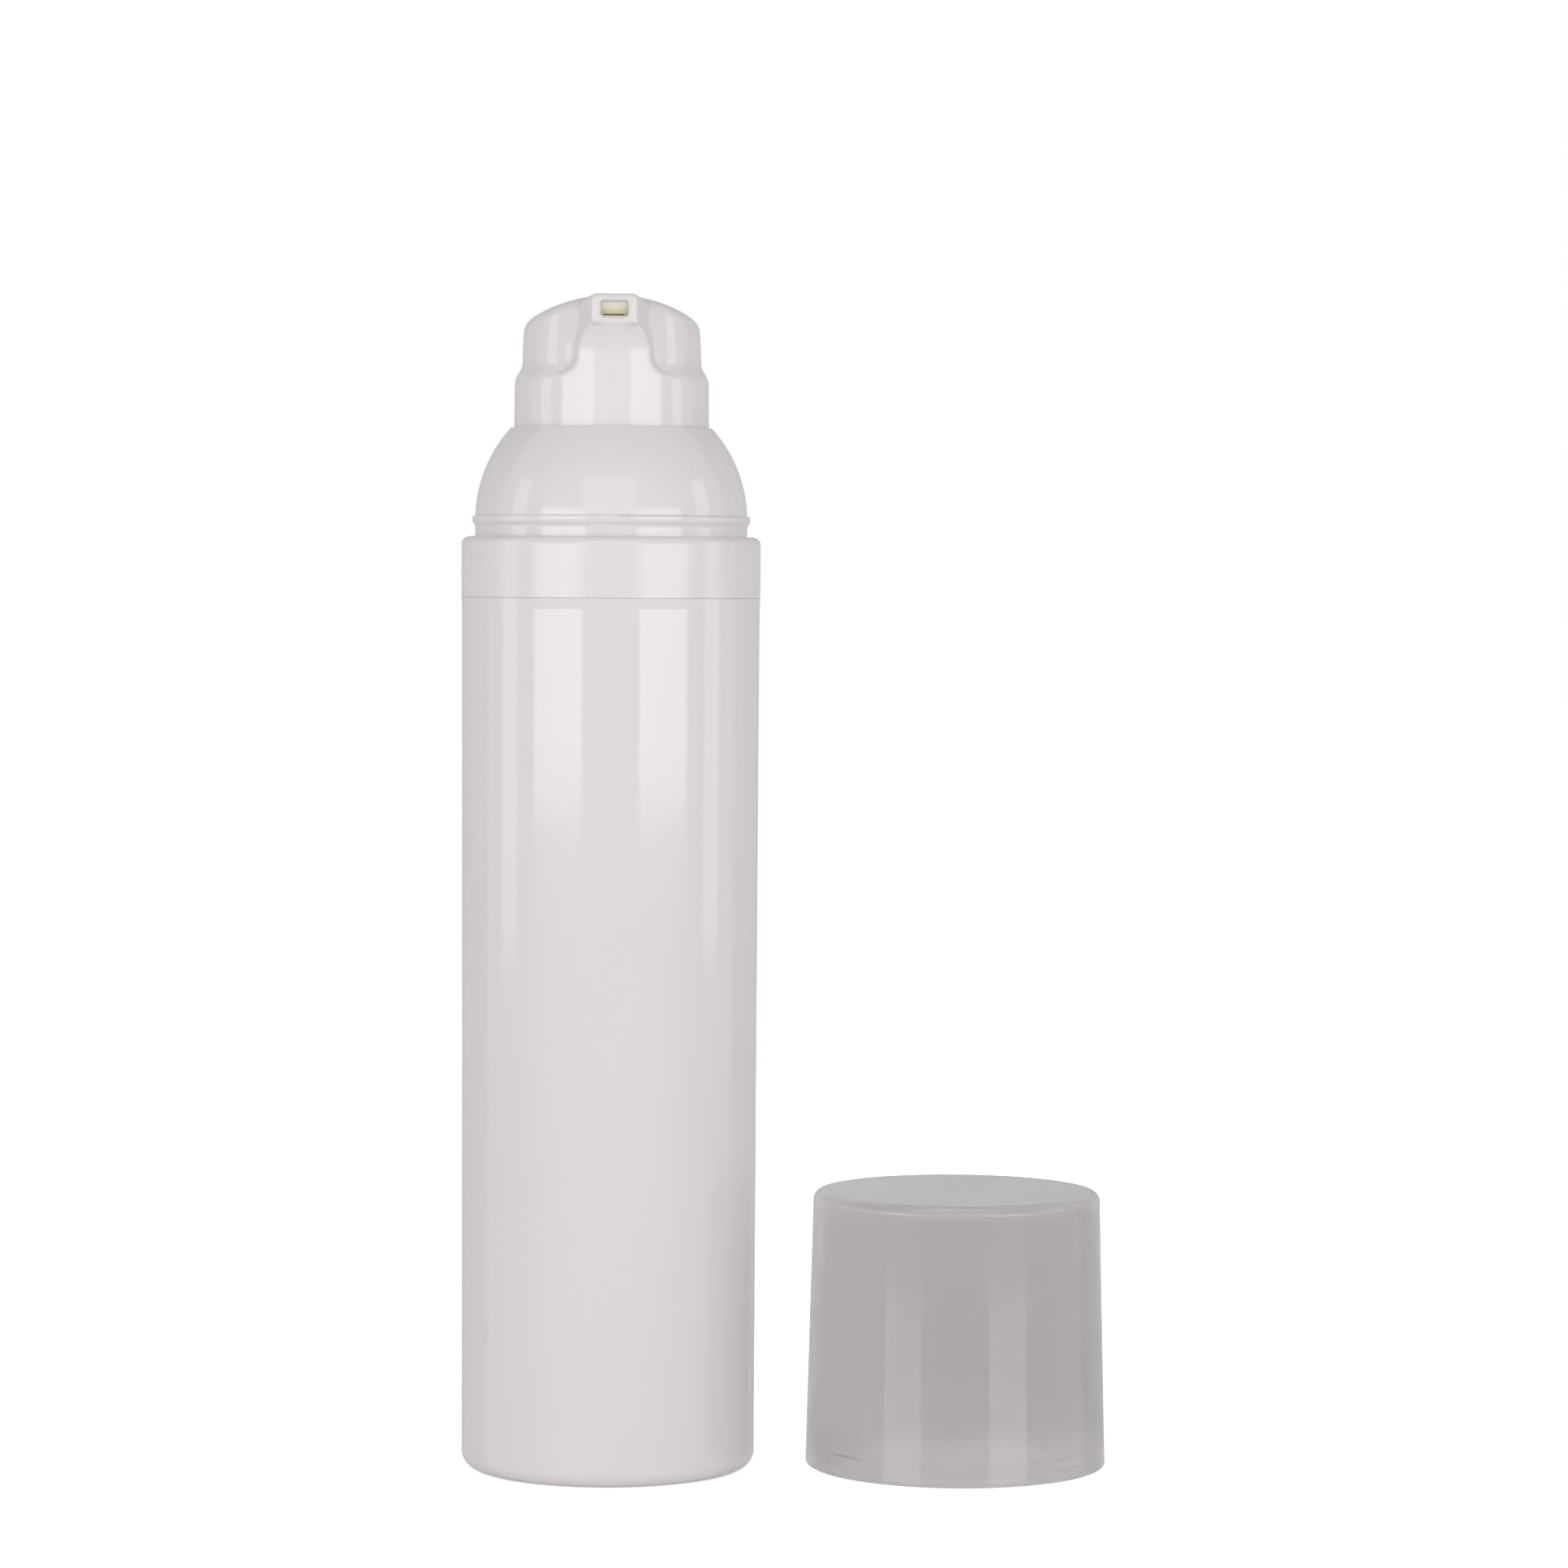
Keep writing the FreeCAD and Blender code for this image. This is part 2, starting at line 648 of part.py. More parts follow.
def bell(foot, waist, lip, top, ahead):
    """Bell-shaped outline of three widths below the nozzle's top, in an upright plane ahead of the axis."""
    right_waist = (waist / 2, apron_waist)
    right_foot = (foot / 2, apron_foot)
    right_lip = (lip / 2, nozzle_low)
    left_waist = (-waist / 2, apron_waist)
    left_foot = (-foot / 2, apron_foot)
    left_lip = (-lip / 2, nozzle_low)
    wire = outline([
        (foot / 2, shoulder_low),
        right_foot,
        (upright_arc(right_waist, right_foot), right_waist),
        (upright_arc(right_waist, right_lip), right_lip),
        (lip / 2, top, NOZZLE_ROUND),
        (-lip / 2, top, NOZZLE_ROUND),
        left_lip,
        (upright_arc(left_waist, left_lip), left_waist),
        (upright_arc(left_waist, left_foot), left_foot),
        (-foot / 2, shoulder_low),
    ])
    wire.translate(FORWARD * ahead)
    return wire


def nozzle():
    """Nozzle and the apron under it, flaring back into the upper body. The apron's front is flush with
    the skirt and leans forward to the nozzle's flat front."""
    front = bell(NOZZLE_FOOT, NOZZLE_WAIST, NOZZLE_WIDTH, nozzle_top, nozzle_front)
    root = bell(ROOT_FOOT, ROOT_WAIST, ROOT_WIDTH, nozzle_top - ROOT_DROP, nozzle_front - ROOT_DEPTH)
    flared = Part.makeLoft([front, root], True, True)
    beyond = nozzle_front + OVERRUN
    reach = turned([
        (0, shoulder_low),
        (skirt_top_radius, shoulder_low),
        (skirt_top_radius, apron_lean),
        (upright_arc((skirt_top_radius, apron_lean), (nozzle_front, nozzle_low)), (nozzle_front, nozzle_low)),
        (beyond, nozzle_low),
        (beyond, nozzle_top + OVERRUN),
        (0, nozzle_top + OVERRUN),
    ])
    solid = flared.common(reach)
    return solid.makeFillet(NOZZLE_EDGE_ROUND, [edge for edge in solid.Edges if on_nozzle_edge(edge)])


def on_nozzle_edge(edge):
    """Whether an edge is one of the nozzle's front or one of the apron's two sides."""
    box = edge.BoundBox
    if box.ZLength < SAME_PLACE and box.ZMin < nozzle_low + SAME_PLACE:
        return False
    on_front = box.YMax < SAME_PLACE - nozzle_front
    beside_apron = box.ZMin > apron_foot - SAME_PLACE and box.ZMax < nozzle_low + SAME_PLACE
    outside = all(math.hypot(end.X, end.Y) > skirt_top_radius - SAME_PLACE for end in edge.Vertexes)
    return on_front or (beside_apron and outside)


def edges_ahead(solid):
    """The edges of a block that run straight forwards."""
    return [edge for edge in solid.Edges if edge.BoundBox.YLength > edge.BoundBox.DiagonalLength - SAME_PLACE]


def actuator_hollow():
    """Space under the actuator's roof, inside its skirt."""
    inside = upper_radius - ACTUATOR_WALL
    hollow = turned([
        (0, skirt_low - OVERRUN),
        (SKIRT_RADIUS - ACTUATOR_WALL, skirt_low - OVERRUN),
        (skirt_top_radius - ACTUATOR_WALL, shoulder_low),
        (inside, shoulder_top),
        (inside - UPPER_LEAN, blank_top),
        (0, blank_top),
    ])
    return hollow.cut(above_saddle(ROOF_THICKNESS))


def actuator():
    """Press button: hollow shell, stem socket, flow duct and the nozzle's pocket."""
    outside = actuator_body().fuse(nozzle())
    socket = Part.makeCylinder(socket_radius, crown + OVERRUN - socket_low, at(0, 0, socket_low))
    duct_low = flow_top - 2 * DUCT_RADIUS
    bridge = block(NOZZLE_WIDTH, 0, upper_radius, duct_low - SOCKET_WALL, nozzle_top)
    core = socket.fuse(bridge).common(outside)
    shell = outside.cut(actuator_hollow()).fuse(core)
    stem_hole = Part.makeCylinder(STEM_RADIUS + PRESS_FIT, SOCKET_DEPTH + OVERRUN, at(0, 0, socket_low - OVERRUN))
    riser = Part.makeCylinder(STEM_BORE, flow_top - stem_top, at(0, 0, stem_top))
    duct_start = at(0, 0, flow_top - DUCT_RADIUS)
    duct_end = at(0, -pocket_back, (opening_low + opening_top) / 2)
    run = duct_end - duct_start
    duct = Part.makeCylinder(DUCT_RADIUS, run.Length, duct_start, run)
    pocket = block(OPENING_WIDTH, pocket_back, nozzle_front + OVERRUN, opening_low, opening_top)
    pocket = pocket.makeFillet(OPENING_ROUND, edges_ahead(pocket))
    return shell.cut([stem_hole, riser, duct, pocket])


def nozzle_valve():
    """Elastic tip in the nozzle's pocket, whose sloping front flap shuts against the pocket's floor."""
    width = OPENING_WIDTH - 2 * PRESS_FIT
    top = opening_top - PRESS_FIT
    low = opening_low + PRESS_FIT
    face_top = nozzle_front - TIP_RECESS
    face_low = face_top - TIP_LEAN
    side = Part.makePolygon([
        at(-width / 2, -pocket_back, low),
        at(-width / 2, -face_low, low),
        at(-width / 2, -face_top, top),
        at(-width / 2, -pocket_back, top),
        at(-width / 2, -pocket_back, low),
    ])
    tip = Part.Face(side).extrude(ACROSS * width)
    bar = block(width, pocket_back, nozzle_front, low, top)
    tip = tip.common(bar.makeFillet(OPENING_ROUND, edges_ahead(bar)))
    throat_front = face_low - TIP_FRONT_WALL
    throat_width = width - 2 * TIP_WALL
    throat = block(throat_width, pocket_back - OVERRUN, throat_front, low + TIP_WALL, top - TIP_WALL)
    way_out = block(throat_width, throat_front - TIP_SLIT, nozzle_front, low + TIP_SLIT, low + 2 * TIP_SLIT)
    drop = block(throat_width, throat_front - 2 * TIP_SLIT, throat_front, low + TIP_SLIT, low + TIP_WALL + TIP_SLIT)
    return tip.cut([throat, way_out, drop])


def overcap():
    """Drafted cap with a thick rim band and a snap bead, standing on its rim."""
    inner_top = cap_top_radius - CAP_WALL
    above_rim = cap_radius - CAP_DRAFT * CAP_RIM_HEIGHT / CAP_HEIGHT - CAP_WALL
    chamfer_top = CAP_RIM_HEIGHT + above_rim - cap_rim_bore
    snap_low = CAP_SNAP_RISE
    snap_top = snap_low + CAP_SNAP_HEIGHT
    snap_crest = (cap_rim_bore - CAP_SNAP_PROUD, (snap_low + snap_top) / 2)
    cap = turned([
        (cap_rim_bore, 0),
        (cap_radius, 0, CAP_RIM_ROUND),
        (cap_top_radius, CAP_HEIGHT, CAP_TOP_ROUND),
        (0, CAP_HEIGHT),
        (0, CAP_HEIGHT - CAP_TOP),
        (inner_top, CAP_HEIGHT - CAP_TOP, CAP_INNER_ROUND),
        (above_rim, chamfer_top),
        (cap_rim_bore, CAP_RIM_HEIGHT),
        (cap_rim_bore, snap_top),
        (snap_crest, (cap_rim_bore, snap_low)),
    ])
    cap.translate(at(cap_axis, 0, 0))
    return cap


def follower_piston():
    """Moulded piston with a wiper lip at each end and a well that takes the pump's tube."""
    lip_inside = follower_lip - FOLLOWER_LIP_WALL
    inside = follower_radius - FOLLOWER_WALL
    well_outside = well_radius + FOLLOWER_WALL
    crown_under = follower_crown - FOLLOWER_WALL
    taper_low = follower_low + FOLLOWER_LIP_LAND
    taper_top = follower_top - FOLLOWER_LIP_LAND
    return turned([
        (0, follower_low),
        (well_outside, follower_low),
        (well_outside, crown_under),
        (inside, crown_under),
        (inside, taper_low + FOLLOWER_TAPER),
        (lip_inside, follower_low),
        (follower_lip, follower_low),
        (follower_lip, taper_low),
        (follower_radius, taper_low + FOLLOWER_TAPER),
        (follower_radius, taper_top - FOLLOWER_TAPER),
        (follower_lip, taper_top),
        (follower_lip, follower_top),
        (lip_inside, follower_top),
        (inside, follower_crown),
        (well_radius, follower_crown),
        (well_radius, follower_low + FOLLOWER_WALL),
        (0, follower_low + FOLLOWER_WALL),
    ])


PIECES = [
    bottle,
    dome_collar,
    neck_gasket,
    pump_chamber,
    guide_sleeve,
    valve_cage,
    inlet_valve,
    pump_stem,
    pump_piston,
    piston_retainer,
    return_spring,
    actuator,
    nozzle_valve,
    overcap,
    follower_piston,
]

os.makedirs("parts", exist_ok=True)
for make in PIECES:
    shape = make()
    print(make.__name__, "valid" if shape.isValid() else "NOT VALID", len(shape.Solids), round(shape.Volume, 2))
    shape.exportStep(os.path.join("parts", make.__name__ + ".step"))
print("press stroke", STROKE, "valve lift", VALVE_LIFT, "follower travel", round(follower_travel, 3))
print("spring seat height", round(seat, 3), "cap axis", round(cap_axis, 3))
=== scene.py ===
import math

import bpy
from bpy.props import FloatProperty, FloatVectorProperty, IntProperty, PointerProperty
from bpy.types import Operator, Panel, PropertyGroup
from mathutils import Matrix, Vector


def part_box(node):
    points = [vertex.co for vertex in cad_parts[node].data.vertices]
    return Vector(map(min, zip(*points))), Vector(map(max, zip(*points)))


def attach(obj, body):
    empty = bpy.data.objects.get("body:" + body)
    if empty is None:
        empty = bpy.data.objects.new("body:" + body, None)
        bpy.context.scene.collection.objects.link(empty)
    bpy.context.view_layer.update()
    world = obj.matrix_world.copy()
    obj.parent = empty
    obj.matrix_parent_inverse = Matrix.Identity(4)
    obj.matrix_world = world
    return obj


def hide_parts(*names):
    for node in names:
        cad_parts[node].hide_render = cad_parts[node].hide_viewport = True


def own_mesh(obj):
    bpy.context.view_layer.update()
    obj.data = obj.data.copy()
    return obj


bl_info = {
    "name": "Airless Pump Bottle",
    "version": (1, 0, 0),
    "blender": (4, 5, 0),
    "location": "View3D > Sidebar > Bottle",
    "description": "Finishes a moulded airless pump bottle with its cap off, and its studio table",
    "category": "Object",
}

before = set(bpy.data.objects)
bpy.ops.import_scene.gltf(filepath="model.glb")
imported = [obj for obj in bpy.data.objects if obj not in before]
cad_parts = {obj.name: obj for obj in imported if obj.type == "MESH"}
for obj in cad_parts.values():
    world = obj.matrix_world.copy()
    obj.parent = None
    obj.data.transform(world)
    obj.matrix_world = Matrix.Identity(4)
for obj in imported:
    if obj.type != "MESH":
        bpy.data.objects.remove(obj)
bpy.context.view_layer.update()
MM = 0.001
POLYPROPYLENE_IOR = 1.49


def linear(code, alpha=1.0):
    """A hex sRGB colour as the linear RGBA that shaders take."""
    shares = [int(code[place:place + 2], 16) / 255 for place in (1, 3, 5)]
    return [s / 12.92 if s <= 0.04045 else ((s + 0.055) / 1.055) ** 2.4 for s in shares] + [alpha]


def colour(name, code, description):
    """A colour that a user can change, given as hex sRGB."""
    return FloatVectorProperty(
        name=name, description=description, subtype="COLOR", size=4, min=0, max=1, default=linear(code))


def length(name, millimetres, description):
    """A length that a user can change, given in millimetres."""
    return FloatProperty(
        name=name, description=description, unit="LENGTH", default=millimetres * MM, precision=5)


def angle(name, degrees, description):
    """An angle that a user can change, given in degrees."""
    return FloatProperty(
        name=name, description=description, subtype="ANGLE", default=math.radians(degrees))


class PlasticColours(PropertyGroup):
    """Colours of the mouldings and the spring."""
    white: colour("White", "#DFDADB", "Pigmented white of the bottle, collar and actuator")
    white_thin: colour("Thin white", "#DCD7D8", "Where the white is thinner or its pigment lies unevenly")
    cap: colour("Cap", "#E4E1E1", "Milky tint of the translucent cap")
    natural: colour("Natural", "#DEDDD6", "Unpigmented mouldings inside the pump")
    natural_dull: colour("Dull natural", "#D2D0C6", "Where the unpigmented mouldings are cloudier")
    # The tip's two colours are the ends of a painted shade: the foot's colour is darkened with painted
    # shade, low in the nozzle's recess, and the top's colour is painted lighter where light falls on its
    # edge
    tip: colour("Tip", "#D3CDAE", "Elastic tip in the nozzle, where it is thick")
    tip_lit_top: colour("Thin tip", "#E6E2D6", "The tip's upper edge, where it is thin and pale")
    steel: colour("Steel", "#A9A8A6", "Drawn spring wire")


class MouldSizes(PropertyGroup):
    """Sizes of the moulds' finishes."""
    soft_edge: length("Soft edge", 1.0, "How far the actuator's edges are rounded")
    satin_height: length("Satin height", 7.2, "Height of the satin band at the foot of the collar")


class SpringSizes(PropertyGroup):
    """The return spring's wire and coils."""
    wire: length("Wire", 1.0, "Diameter of the spring's wire")
    radius: length("Radius", 5.38, "From the spring's axis to the middle of its wire")
    turns: IntProperty(name="Turns", description="Whole turns of the coil", default=5, min=2)
    flat: length("Flat", 0.15, "How deep the two ends are ground flat")
    sides: IntProperty(name="Sides", description="Faces round the wire", default=20, min=6)
    steps: IntProperty(name="Steps", description="Faces along each turn", default=40, min=12)


class StageSizes(PropertyGroup):
    """Camera, lamps and cards, as the photograph shows them."""
    camera: FloatVectorProperty(
        name="Camera", description="Place of the camera", unit="LENGTH", size=3,
        default=(-15.56 * MM, -706.06 * MM, 122.68 * MM))
    turn: angle("Turn", -3.2, "The camera's turn about the upright axis")
    tilt: angle("Tilt", 2.309, "How far the camera looks down")
    roll: angle("Roll", 0.298, "The camera's turn about its own axis")
    lens: FloatProperty(name="Lens", description="Focal length on the sensor, in mm", default=117.97)
    sensor: FloatProperty(name="Sensor", description="Width of the camera's sensor, in mm", default=36)
    panel_distance: length("Panel distance", 800, "From the bottle to each soft panel")
    front_angle: angle("Front angle", 41, "Angle of the front panels from the camera's direction")
    side_angle: angle("Side angle", 83.5, "Angle of the side panels from the camera's direction")
    back_angle: angle("Back angle", 138, "Angle of the back panels from the camera's direction")
    rear_angle: angle("Rear angle", 166, "Angle of the rear panels from the camera's direction")
    table: length("Table", 6000, "Length of the table's sides")
    card_width: length("Card width", 1200, "Width of the two grey cards")
    card_height: length("Card height", 800, "Height of the two grey cards")
    card_middle: length("Card middle", 100, "Height of the cards' middles above the table")
    grey_distance: length("Grey distance", 200, "From the bottle back to the card that gloss shows")
    dark_distance: length("Dark distance", 25, "From the bottle back to the card seen through the cap")
    fade_start: length("Fade start", 30, "From that card's middle to where it starts to darken")
    fade_end: length("Fade end", 41.4, "From that card's middle to where it is darkest")


def add_node(tree, kind, settings=None, inputs=None):
    """A node with its settings, and its inputs set to values or linked from other nodes' outputs."""
    node = tree.nodes.new(kind)
    for name, value in (settings or {}).items():
        setattr(node, name, value)
    for name, value in (inputs or {}).items():
        if isinstance(value, bpy.types.NodeSocket):
            tree.links.new(value, node.inputs[name])
        else:
            node.inputs[name].default_value = value
    return node


def new_material(name):
    """A material without nodes but its object coordinates."""
    material = bpy.data.materials.new(name)
    material.use_nodes = True
    tree = material.node_tree
    tree.nodes.clear()
    place = add_node(tree, "ShaderNodeTexCoord").outputs["Object"]
    return material, tree, place


def white_polypropylene(colours, finish, soft_edge=0.0, satin=None):
    """Polypropylene filled with white pigment, injection moulded in a polished mould.
    The eye sees a clear gloss over a dense white, with the faint swell of cooling in the reflections.
    Edges may be softened, where the mould has no sharp corner, and a band between two heights may be
    satin."""
    material, tree, place = new_material("white_polypropylene_" + finish + "_moulding")
    cloud = add_node(tree, "ShaderNodeTexNoise", inputs={
        "Vector": place, "Scale": 1 / (22 * MM), "Detail": 2.0})
    tone = add_node(tree, "ShaderNodeMix", {"data_type": "RGBA"}, {
        "Factor": cloud.outputs["Fac"], "A": colours.white, "B": colours.white_thin})
    swell = add_node(tree, "ShaderNodeTexNoise", inputs={
        "Vector": place, "Scale": 1 / (7 * MM), "Detail": 1.0})
    bump = add_node(tree, "ShaderNodeBump", inputs={
        "Height": swell.outputs["Fac"], "Strength": 0.05, "Distance": 0.2 * MM})
    if soft_edge:
        edge = add_node(tree, "ShaderNodeBevel", {"samples": 8}, {"Radius": soft_edge})
        tree.links.new(edge.outputs["Normal"], bump.inputs["Normal"])
    grain = add_node(tree, "ShaderNodeTexNoise", inputs={
        "Vector": place, "Scale": 1 / (0.8 * MM), "Detail": 3.0})
    gloss = add_node(tree, "ShaderNodeMapRange", inputs={
        "Value": grain.outputs["Fac"], "To Min": 0.07, "To Max": 0.12})
    rough = gloss.outputs["Result"]
    if satin is not None:
        satin_added = 0.1
        height = add_node(tree, "ShaderNodeSeparateXYZ", inputs={"Vector": place}).outputs["Z"]
        above = add_node(tree, "ShaderNodeMath", {"operation": "GREATER_THAN"}, {0: height, 1: satin[0]})
        below = add_node(tree, "ShaderNodeMath", {"operation": "LESS_THAN"}, {0: height, 1: satin[1]})
        band = add_node(tree, "ShaderNodeMath", {"operation": "MULTIPLY"}, {
            0: above.outputs[0], 1: below.outputs[0]})
        rough = add_node(tree, "ShaderNodeMath", {"operation": "MULTIPLY_ADD"}, {
            0: band.outputs[0], 1: satin_added, 2: rough}).outputs[0]
    shader = add_node(tree, "ShaderNodeBsdfPrincipled", inputs={
        "Base Color": tone.outputs["Result"], "Roughness": rough, "IOR": POLYPROPYLENE_IOR,
        "Normal": bump.outputs["Normal"]})
    add_node(tree, "ShaderNodeOutputMaterial", inputs={"Surface": shader.outputs[0]})
    return material


def translucent_polypropylene(colours):
    """Unfilled polypropylene, injection moulded thin and polished.
    The eye sees light through it, but milky: what lies behind is blurred and greyed, and the thin wall
    hardly bends it, under a skin that gleams as polished plastic does."""
    material, tree, place = new_material("translucent_polypropylene_moulding")
    cloud = add_node(tree, "ShaderNodeTexNoise", inputs={
        "Vector": place, "Scale": 1 / (15 * MM), "Detail": 2.0})
    gloss = add_node(tree, "ShaderNodeMapRange", inputs={
        "Value": cloud.outputs["Fac"], "To Min": 0.28, "To Max": 0.32})
    shader = add_node(tree, "ShaderNodeBsdfPrincipled", inputs={
        "Base Color": colours.cap, "Roughness": gloss.outputs["Result"], "IOR": 1.1,
        "Coat Weight": 1.0, "Coat Roughness": 0.085, "Coat IOR": POLYPROPYLENE_IOR,
        "Subsurface Weight": 1.0, "Subsurface Radius": (1.0, 1.0, 1.0), "Subsurface Scale": 1.5 * MM,
        "Transmission Weight": 0.88})
    # Lamps shine through the wall, so the cap throws no dark shadow into itself or on the table
    ray = add_node(tree, "ShaderNodeLightPath")
    lit = add_node(tree, "ShaderNodeMath", {"operation": "MAXIMUM"}, {
        0: ray.outputs["Is Shadow Ray"], 1: ray.outputs["Is Diffuse Ray"]})
    let_through = add_node(tree, "ShaderNodeBsdfTransparent", inputs={"Color": linear("#F4F4F4")})
    wall = add_node(tree, "ShaderNodeMixShader", inputs={
        0: lit.outputs[0], 1: shader.outputs[0], 2: let_through.outputs[0]})
    add_node(tree, "ShaderNodeOutputMaterial", inputs={"Surface": wall.outputs[0]})
    return material


def natural_moulding(colours):
    """Unpigmented polypropylene and polyethylene, moulded with a fine matt skin.
    The eye sees a waxy off-white with a soft, broad sheen."""
    material, tree, place = new_material("natural_polyolefin_moulding")
    cloud = add_node(tree, "ShaderNodeTexNoise", inputs={
        "Vector": place, "Scale": 1 / (6 * MM), "Detail": 2.0})
    tone = add_node(tree, "ShaderNodeMix", {"data_type": "RGBA"}, {
        "Factor": cloud.outputs["Fac"], "A": colours.natural, "B": colours.natural_dull})
    skin = add_node(tree, "ShaderNodeTexNoise", inputs={
        "Vector": place, "Scale": 1 / (0.4 * MM), "Detail": 2.0})
    bump = add_node(tree, "ShaderNodeBump", inputs={
        "Height": skin.outputs["Fac"], "Strength": 0.1, "Distance": 0.05 * MM})
    shader = add_node(tree, "ShaderNodeBsdfPrincipled", inputs={
        "Base Color": tone.outputs["Result"], "Roughness": 0.42, "IOR": 1.5,
        "Normal": bump.outputs["Normal"]})
    add_node(tree, "ShaderNodeOutputMaterial", inputs={"Surface": shader.outputs[0]})
    return material


def ivory_elastomer(colours, low, top):
    """Thermoplastic elastomer, moulded soft and left its own ivory colour.
    The eye sees a satin, slightly yellow skin. Painted shade makes it darker towards the bottom, which
    lies deeper in the nozzle's recess, and lighter towards the top."""
    material, tree, place = new_material("ivory_elastomer_satin_moulding")
    height = add_node(tree, "ShaderNodeSeparateXYZ", inputs={"Vector": place}).outputs["Z"]
    # Painted shade: darker towards the tip's foot, deep in the nozzle's recess, lighter towards its top
    painted_shade_ramp = add_node(tree, "ShaderNodeMapRange", {"interpolation_type": "SMOOTHSTEP"}, {
        "Value": height, "From Min": low, "From Max": top})
    skin = add_node(tree, "ShaderNodeTexNoise", inputs={
        "Vector": place, "Scale": 1 / (0.3 * MM), "Detail": 2.0})
    bump = add_node(tree, "ShaderNodeBump", inputs={
        "Height": skin.outputs["Fac"], "Strength": 0.1, "Distance": 0.03 * MM})
    tone = add_node(tree, "ShaderNodeMix", {"data_type": "RGBA"}, {
        "Factor": painted_shade_ramp.outputs["Result"], "A": colours.tip, "B": colours.tip_lit_top})
    shader = add_node(tree, "ShaderNodeBsdfPrincipled", inputs={
        "Base Color": tone.outputs["Result"], "Roughness": 0.45, "IOR": 1.5,
        "Normal": bump.outputs["Normal"]})
    add_node(tree, "ShaderNodeOutputMaterial", inputs={"Surface": shader.outputs[0]})
    return material


def drawn_steel(colours):
    """Stainless spring steel, cold drawn through a die.
    The eye sees bright metal, its gloss finely broken by the marks of drawing."""
    material, tree, place = new_material("stainless_spring_steel_drawn")
    marks = add_node(tree, "ShaderNodeTexNoise", inputs={
        "Vector": place, "Scale": 1 / (0.3 * MM), "Detail": 4.0})
    gloss = add_node(tree, "ShaderNodeMapRange", inputs={
        "Value": marks.outputs["Fac"], "To Min": 0.22, "To Max": 0.38})
    shader = add_node(tree, "ShaderNodeBsdfPrincipled", inputs={
        "Base Color": colours.steel, "Metallic": 1.0, "Roughness": gloss.outputs["Result"]})
    add_node(tree, "ShaderNodeOutputMaterial", inputs={"Surface": shader.outputs[0]})
    return material


def dress(nodes, material):
    """Gives CAD nodes a finished material in place of their plain one."""
    for name in nodes:
        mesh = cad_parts[name].data
        mesh.materials.clear()
        mesh.materials.append(material)


def deselect():
    """Leaves edit mode, with nothing selected."""
    if bpy.context.mode != "OBJECT":
        bpy.ops.object.mode_set(mode="OBJECT")
    bpy.ops.object.select_all(action="DESELECT")


class BOTTLE_OT_white_mouldings(Operator):
    """Finish the bottle, domed collar and actuator in white polypropylene"""
    bl_idname = "bottle.white_mouldings"
    bl_label = "White mouldings"

    def execute(self, context):
        colours = context.scene.bottle_colours
        sizes = context.scene.bottle_moulds
        dress(["bottle"], white_polypropylene(colours, "polished"))
        dress(["actuator"], white_polypropylene(colours, "polished_soft_edged", sizes.soft_edge))
        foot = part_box("dome_collar")[0].z
        satin = (foot, foot + sizes.satin_height)
        dress(["dome_collar"], white_polypropylene(colours, "polished_and_satin", satin=satin))
        return {"FINISHED"}


class BOTTLE_OT_overcap(Operator):
    """Finish the loose cap in translucent polypropylene"""
    bl_idname = "bottle.overcap"
    bl_label = "Overcap"

    def execute(self, context):
        dress(["overcap"], translucent_polypropylene(context.scene.bottle_colours))
        return {"FINISHED"}


class BOTTLE_OT_inner_mouldings(Operator):
    """Finish the follower and the pump's inner pieces in natural plastic"""
    bl_idname = "bottle.inner_mouldings"
    bl_label = "Inner mouldings"

    def execute(self, context):
        dress(
            ["follower_piston", "neck_gasket", "pump_chamber", "valve_cage", "inlet_valve", "guide_sleeve",
             "pump_stem", "pump_piston", "piston_retainer"],
            natural_moulding(context.scene.bottle_colours))
        return {"FINISHED"}


class BOTTLE_OT_nozzle_tip(Operator):
    """Finish the elastic tip in the nozzle"""
    bl_idname = "bottle.nozzle_tip"
    bl_label = "Nozzle tip"

    def execute(self, context):
        # The tip's painted shade runs from its lowest point to its highest
        low, top = (corner.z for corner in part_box("nozzle_valve"))
        dress(["nozzle_valve"], ivory_elastomer(context.scene.bottle_colours, low, top))
        return {"FINISHED"}


def wind_wire(sizes, low, top):
    """An open coil that stands past two heights by what is ground off its ends."""
    first = low + sizes.wire / 2 - sizes.flat
    pitch = (top - low - sizes.wire + 2 * sizes.flat) / sizes.turns
    deselect()
    bpy.ops.mesh.primitive_circle_add(
        vertices=sizes.sides, radius=sizes.wire / 2, fill_type="NOTHING",
        location=(sizes.radius, 0, first), rotation=(math.pi / 2, 0, 0))
    spring = bpy.context.object
    bpy.ops.object.transform_apply(location=True, rotation=True, scale=True)
    winding = spring.modifiers.new("winding", "SCREW")
    winding.axis = "Z"
    winding.angle = 2 * math.pi * sizes.turns
    winding.screw_offset = pitch * sizes.turns
    winding.steps = sizes.steps * sizes.turns
    winding.render_steps = winding.steps
    winding.use_merge_vertices = False
    bpy.ops.object.modifier_apply(modifier="winding")
    return spring


def grind_ends(spring, low, top):
    """Closes the wire's two ends, and cuts the coil flat at two heights."""
    bpy.ops.object.mode_set(mode="EDIT")
    bpy.ops.mesh.select_mode(type="EDGE")
    bpy.ops.mesh.select_all(action="DESELECT")
    bpy.ops.mesh.select_non_manifold()
    bpy.ops.mesh.edge_face_add()
    for height, outwards in ((low, -1), (top, 1)):
        bpy.ops.mesh.select_all(action="SELECT")
        bpy.ops.mesh.bisect(
            plane_co=(0, 0, height), plane_no=(0, 0, outwards), use_fill=True, clear_outer=True)
    bpy.ops.mesh.select_all(action="SELECT")
    bpy.ops.mesh.normals_make_consistent(inside=False)
    bpy.ops.object.mode_set(mode="OBJECT")
    spring.data.validate()
    bpy.ops.object.shade_smooth_by_angle(angle=math.radians(40))


